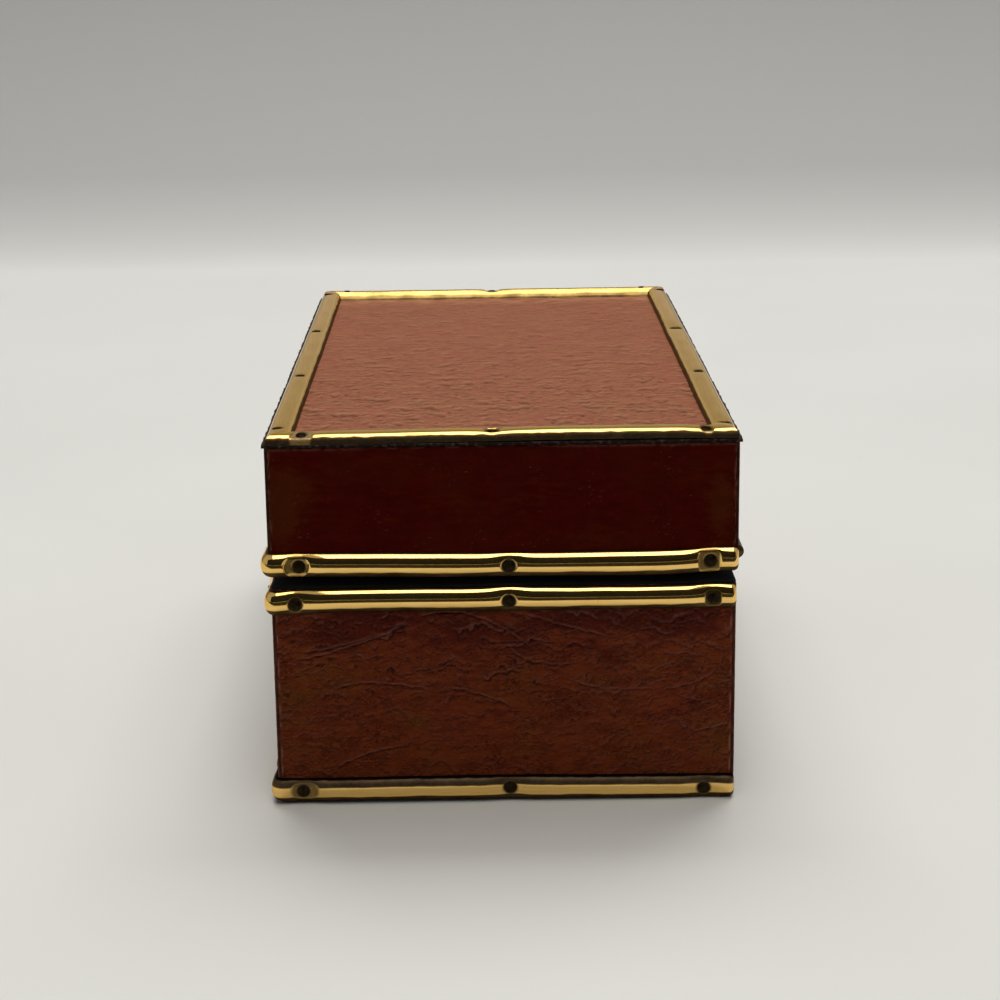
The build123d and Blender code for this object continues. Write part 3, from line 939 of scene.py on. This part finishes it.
def brass_material():
    """Polished brass with fine streaks, dark brown and dull along its edges, in its dents and in thin spots,
    and painted black for a gap's shadow where its tarnish value passes 1.
    """
    mat = Material("brass_strip")
    place = mat.place()
    cloud = mat.noise(place, 5, 4, 0.65)
    speck = mat.noise(place, 0.6, 3, 0.7)
    on_strip = mat.add("ShaderNodeCombineXYZ", {
        "X": mat.times(mat.attribute("along"), 0.12),
        "Y": mat.times(mat.attribute("across"), 2.2),
    })
    streak = mat.noise(on_strip, 1, 4, 0.6)
    tarnish = mat.attribute("tarnish")
    uneven = mat.plus(mat.times(tarnish, 1.15), mat.ramp(cloud, 0.3, 0.7, -0.15, 0.15))
    spotted = mat.ramp(speck, 0.66, 0.74, 0, 0.5)
    dull = mat.ramp(mat.maths("MAXIMUM", uneven, spotted), 0.1, 0.95)
    # Painted shadow: where the tarnish value passes 1.1 the brass turns black and rougher, the shade of the
    # gap above the foot strip.
    painted_gap_shadow = mat.ramp(tarnish, 1.1, 2.0)
    dust = mat.times(mat.attribute("dust"), mat.ramp(speck, 0.35, 0.6, 0.3, 1.0))
    warm = mat.mixed(mat.ramp(streak, 0.4, 0.62), (0.95, 0.63, 0.21), (0.88, 0.55, 0.15))
    brown = mat.mixed(mat.ramp(cloud, 0.35, 0.7), (0.045, 0.025, 0.01), (0.11, 0.07, 0.03))
    shade = mat.mixed(dull, warm, brown)
    shade = mat.mixed(painted_gap_shadow, shade, (0.006, 0.005, 0.004))
    rough = mat.ramp(mat.plus(dull, dust), 0, 1, 0.09, 0.5)
    return mat.finish({
        "Base Color": mat.mixed(dust, shade, (0.2, 0.14, 0.11)),
        "Metallic": mat.ramp(dust, 0, 1, 1.0, 0.2),
        "Roughness": mat.plus(rough, mat.times(painted_gap_shadow, 0.3)),
        "Specular Tint": (0.97, 0.84, 0.62, 1),
        "Normal": mat.bumped(mat.plus(mat.plus(speck, streak), mat.times(cloud, 2)), 0.07, 0.03),
    })


def dark_metal(name, size, detail, tones, low, roughness, grain, tint=(1, 1, 1)):
    """Metal that has darkened unevenly."""
    mat = Material(name)
    mottle = mat.noise(mat.place(), size, detail, 0.65)
    return mat.finish({
        "Base Color": mat.mixed(mat.ramp(mottle, low, 0.7), *tones),
        "Metallic": 0.9,
        "Specular Tint": (*tint, 1),
        "Roughness": mat.ramp(mottle, 0.3, 0.7, *roughness),
        "Normal": mat.bumped(mottle, grain, 0.05),
    })


def felt_material(name, colour, fibre):
    """Matted fibres: fine tufts in the colour and the surface, with a soft sheen."""
    mat = Material(name)
    place = mat.place()
    tuft = mat.noise(place, 0.35, 5, 0.8)
    shade = mat.mixed(mat.ramp(tuft, 0.35, 0.7), [0.4 * value for value in colour], colour)
    return mat.finish({
        "Base Color": mat.mixed(mat.ramp(mat.noise(place, 9), 0.4, 0.7, 0, 0.5), shade, fibre),
        "Roughness": 0.95,
        "Sheen Weight": 0.08,
        "Sheen Roughness": 0.5,
        "Specular IOR Level": 0.2,
        "Normal": mat.bumped(tuft, 0.7, 0.12),
    })


def wood_material():
    """A sawn softwood board, with its grain along the box."""
    mat = Material("wood")
    place = mat.place((1, 12, 1))
    rings = mat.add("ShaderNodeTexWave", {
        "Vector": place, "Scale": 0.35, "Distortion": 5.0, "Detail": 3.0, "Detail Scale": 1.2,
    }, "Fac")
    fibre = mat.noise(place, 0.5, 4)
    shade = mat.mixed(rings, (0.36, 0.21, 0.1), (0.52, 0.35, 0.19))
    return mat.finish({
        "Base Color": mat.mixed(mat.ramp(fibre, 0.4, 0.7, 0, 0.5), shade, (0.3, 0.17, 0.08)),
        "Roughness": mat.ramp(fibre, 0.3, 0.7, 0.6, 0.8),
        "Normal": mat.bumped(fibre, 0.4, 0.1),
    })


# The spacing of the leather's pores
PORE_SIZE = 0.42
# Each leather's tones: crease is the painted shade of its creases, rub the paler colour of rubbed wear and of
# painted highlights.
LEATHERS = {
    # The lid's sides: the same leather as its top, painted far darker, a painted shade for the little light
    # that reaches them.
    "leather_lid": {
        "main": (0.058, 0.0024, 0.0005), "dark": (0.042, 0.0016, 0.0003), "olive": (0.065, 0.012, 0.002),
        "purple": (0.05, 0.003, 0.0015), "crease_shade": (0.016, 0.0015, 0.0008), "rub_and_painted_light": (0.15, 0.05, 0.035),
        "cut": (0.03, 0.008, 0.006), "raw": (0.07, 0.03, 0.024), "stretch": (3, 3, 1), "gloss": 0.015,
        "cracks": 0.3, "fray": 2.5, "shine": 0.36, "grain": 0.1,
    },
    "leather_base": {
        "main": (0.165, 0.031, 0.0095), "dark": (0.105, 0.0175, 0.005), "olive": (0.12, 0.038, 0.006),
        "purple": (0.065, 0.008, 0.005), "crease_shade": (0.014, 0.0015, 0.0006), "rub_and_painted_light": (0.3, 0.12, 0.09),
        "cut": (0.045, 0.012, 0.006), "raw": (0.08, 0.035, 0.025), "stretch": (2.4, 2.4, 1), "gloss": 0.035,
        "cracks": 0.85, "fray": 2.5, "shine": 0.42, "grain": 0.3,
    },
    # The lid's top: the same leather as its sides, painted far paler, a painted light for the light that
    # falls on it from above.
    "leather_top": {
        "main": (0.335, 0.118, 0.062), "dark": (0.245, 0.074, 0.038), "olive": (0.3, 0.12, 0.056),
        "purple": (0.3, 0.09, 0.055), "crease_shade": (0.11, 0.028, 0.014), "rub_and_painted_light": (0.58, 0.3, 0.16),
        # The near-black cut tone is the raw edge with the strips' shadow painted in.
        "cut": (0.008, 0.004, 0.003), "raw": (0.07, 0.04, 0.03), "stretch": (3, 1, 1), "gloss": 0.1,
        "cracks": 0.5, "fray": 0.9, "shine": 0.45, "grain": 0.3,
    },
}
IRON = (0.008, 0.006, 0.004), (0.05, 0.034, 0.016)
OLD_BRASS = (0.012, 0.009, 0.006), (0.16, 0.1, 0.04)
MATERIALS = {
    **{name: leather_material(name, tones) for name, tones in LEATHERS.items()},
    "brass_strip": brass_material(),
    "nail": dark_metal("nail", 0.5, 4, IRON, 0.35, (0.35, 0.6), 0.3, (0.4, 0.3, 0.16)),
    "hinge_brass": dark_metal("hinge_brass", 2.2, 5, OLD_BRASS, 0.42, (0.55, 0.32), 0.2),
    "black_lining": felt_material("black_lining", (0.006, 0.006, 0.0065), (0.012, 0.012, 0.012)),
    "felt": felt_material("felt", (0.014, 0.014, 0.015), (0.025, 0.025, 0.026)),
    "wood": wood_material(),
}


# The pieces


def make_leathers():
    """The leather of the lid's top and of the four sides of each half."""
    sides = {"near_end": "-y", "far_end": "+y", "front": "-x", "back": "+x"}
    reliefs = {"lid": (lid_end_relief, smooth_relief), "base": (near_end_relief, creased_relief)}
    for half, (end_relief, side_relief) in reliefs.items():
        material = MATERIALS[f"leather_{half}"]
        for number, (side, facing) in enumerate(sides.items()):
            seed = 100 * number + len(half)
            step, relief = (0.23, end_relief) if side == "near_end" else (0.42, side_relief)
            relief = partial(relief, seed=seed)
            make_panel(f"{half}_{side}_leather", facing, material, relief, step, LEATHER_EDGE, 0.2, seed)
    top = partial(pebbled_relief, seed=900)
    make_panel("lid_top_leather", "+z", MATERIALS["leather_top"], top, 0.42, LEATHER_EDGE, -0.4, 7)


def make_felts():
    """The felt under the box, the pads and the liners of both halves, and the cloth on their rims."""
    felt = MATERIALS["felt"]
    soft = partial(felt_relief, seed=60)
    make_panel("base_underside_felt", "-z", felt, soft, 1.5, 0.3)
    for node, facing in (("base_floor_pad", "+z"), ("lid_ceiling_pad", "-z")):
        make_panel(node, facing, felt, soft, 1.2, 0.3, -0.3)
    inward = {"near_end": "+y", "far_end": "-y", "front": "+x", "back": "-x"}
    for half in ("base", "lid"):
        for side, facing in inward.items():
            make_panel(f"{half}_{side}_liner", facing, felt, soft, 1.2, 0.4)
    make_rim_lining("base", True)
    make_rim_lining("lid", False)


def finish_cad_nodes():
    """The CAD nodes that stay get their slot's material."""
    for node, shown in frame["nodes"].items():
        if not shown.hide_render:
            shown.data.materials.clear()
            shown.data.materials.append(MATERIALS[SLOT_OF[node]])


make_leathers()
make_felts()
make_side_strip("lid_rim_strip", side_darkening)
make_side_strip("base_rim_strip", side_darkening)
make_side_strip("base_foot_strip", foot_darkening)
make_top_strips()
finish_cad_nodes()


# Stage, light and camera


def make_stage():
    """A pale floor that sweeps up behind the box, on paper painted greyer up the sweep, a painted shade for
    the light that falls off there, and pale again higher up.
    """
    mat = Material("paper")
    place = mat.place()
    cloud = mat.ramp(mat.noise(place, 160, 2), 0.3, 0.7)
    pale = mat.mixed(cloud, (0.77, 0.765, 0.735), (0.8, 0.795, 0.765))
    back, height = (mat.add("ShaderNodeSeparateXYZ", {"Vector": place}, axis) for axis in "YZ")
    # Painted shade: the paper greys from 620 to 800 mm back and turns pale again above 150 to 200 mm high.
    shade = mat.mixed(mat.ramp(back, 620, 800), pale, (0.5, 0.495, 0.48))
    shade = mat.mixed(mat.ramp(height, 150, 200), shade, (0.8, 0.79, 0.77))
    material = mat.finish({"Base Color": shade, "Roughness": 0.7, "Specular IOR Level": 0.2})
    front, start, bend, top, half = -3500.0, 660.0, 360.0, 1900.0, 3000.0
    arc = [(start + bend * math.sin(turn), bend - bend * math.cos(turn))
           for turn in np.radians(np.linspace(0, 90, 25))]
    profile = [(front, 0.0), *arc, (start + bend, top)]
    points = [(side * half, y, z) for side in (-1, 1) for y, z in profile]
    count = len(profile)
    faces = [(i, i + 1, count + i + 1, count + i) for i in range(count - 1)]
    sweep = new_object("sweep", points, faces, material)
    sweep.data.shade_smooth()
    sweep.visible_shadow = False


def make_flag():
    """A black card in front, which only reflections see: the dark room that the brass mirrors."""
    material = Material("flag").finish({"Base Color": (0.01, 0.01, 0.01, 1), "Roughness": 0.9})
    near, far, foot, top, half = -195.0, -800.0, 14.0, 720.0, 1000.0
    edges = ((near, 1.0), (far, 1.0), (far, foot), (far, top))
    points = [(side * half, y, z) for y, z in edges for side in (-1, 1)]
    flag = new_object("flag", points, [(0, 1, 3, 2), (4, 5, 7, 6)], material)
    flag.visible_camera = False
    flag.visible_diffuse = False
    flag.visible_shadow = False


def make_lamp(name, size, power, location, tilt):
    """A soft box: its size in metres, its power in watts and its tilt about X from facing down."""
    data = bpy.data.lights.new(name, "AREA")
    data.shape = "RECTANGLE"
    data.size, data.size_y = size
    data.energy = power
    lamp = in_scene(name, data)
    lamp.location = location
    lamp.rotation_euler.x = math.radians(tilt)
    return lamp


def make_lights():
    """A soft box overhead, another behind that the brass doesn't mirror, and a dim grey room."""
    overhead = make_lamp("overhead_box", (0.4, 1.415), 5.35, (0.03, -0.3625, 1.0), 0)
    overhead.data.color = (1.0, 0.975, 0.92)
    rear = make_lamp("rear_box", (2.0, 1.2), 31.0, (0.15, 1.15, 2.0), -32)
    rear.visible_glossy = False
    world = bpy.data.worlds.new("room")
    bpy.context.scene.world = world
    world.use_nodes = True
    room = Nodes(world.node_tree)
    kinds = ("Is Camera Ray", "Is Glossy Ray", "Is Transmission Ray")
    rays = [room.add("ShaderNodeLightPath", {}, kind) for kind in kinds]
    seen = room.maths("MAXIMUM", room.maths("MAXIMUM", *rays[:2]), rays[2])
    strength = room.ramp(seen, 0, 1, 0.13, 0.4)
    room.feed(room.tree.nodes["Background"], {"Color": (1.0, 0.99, 0.96, 1), "Strength": strength})


def make_camera():
    """The photograph's camera: a long lens that looks down the box's length from a little above it."""
    data = bpy.data.cameras.new("camera")
    data.sensor_width = 36
    data.lens = 80.1
    data.clip_start = 0.01
    data.clip_end = 20
    camera = in_scene("camera", data)
    camera.matrix_world = Matrix.Translation((-0.00375, -0.49379, 0.16707))
    for degrees, axis in ((-0.452, "Z"), (90 - 14.542, "X"), (-0.75, "Z")):
        camera.matrix_world @= Matrix.Rotation(math.radians(degrees), 4, axis)
    bpy.context.scene.camera = camera


make_stage()
make_flag()
make_lights()
make_camera()
bpy.context.scene.view_settings.view_transform = "Standard"
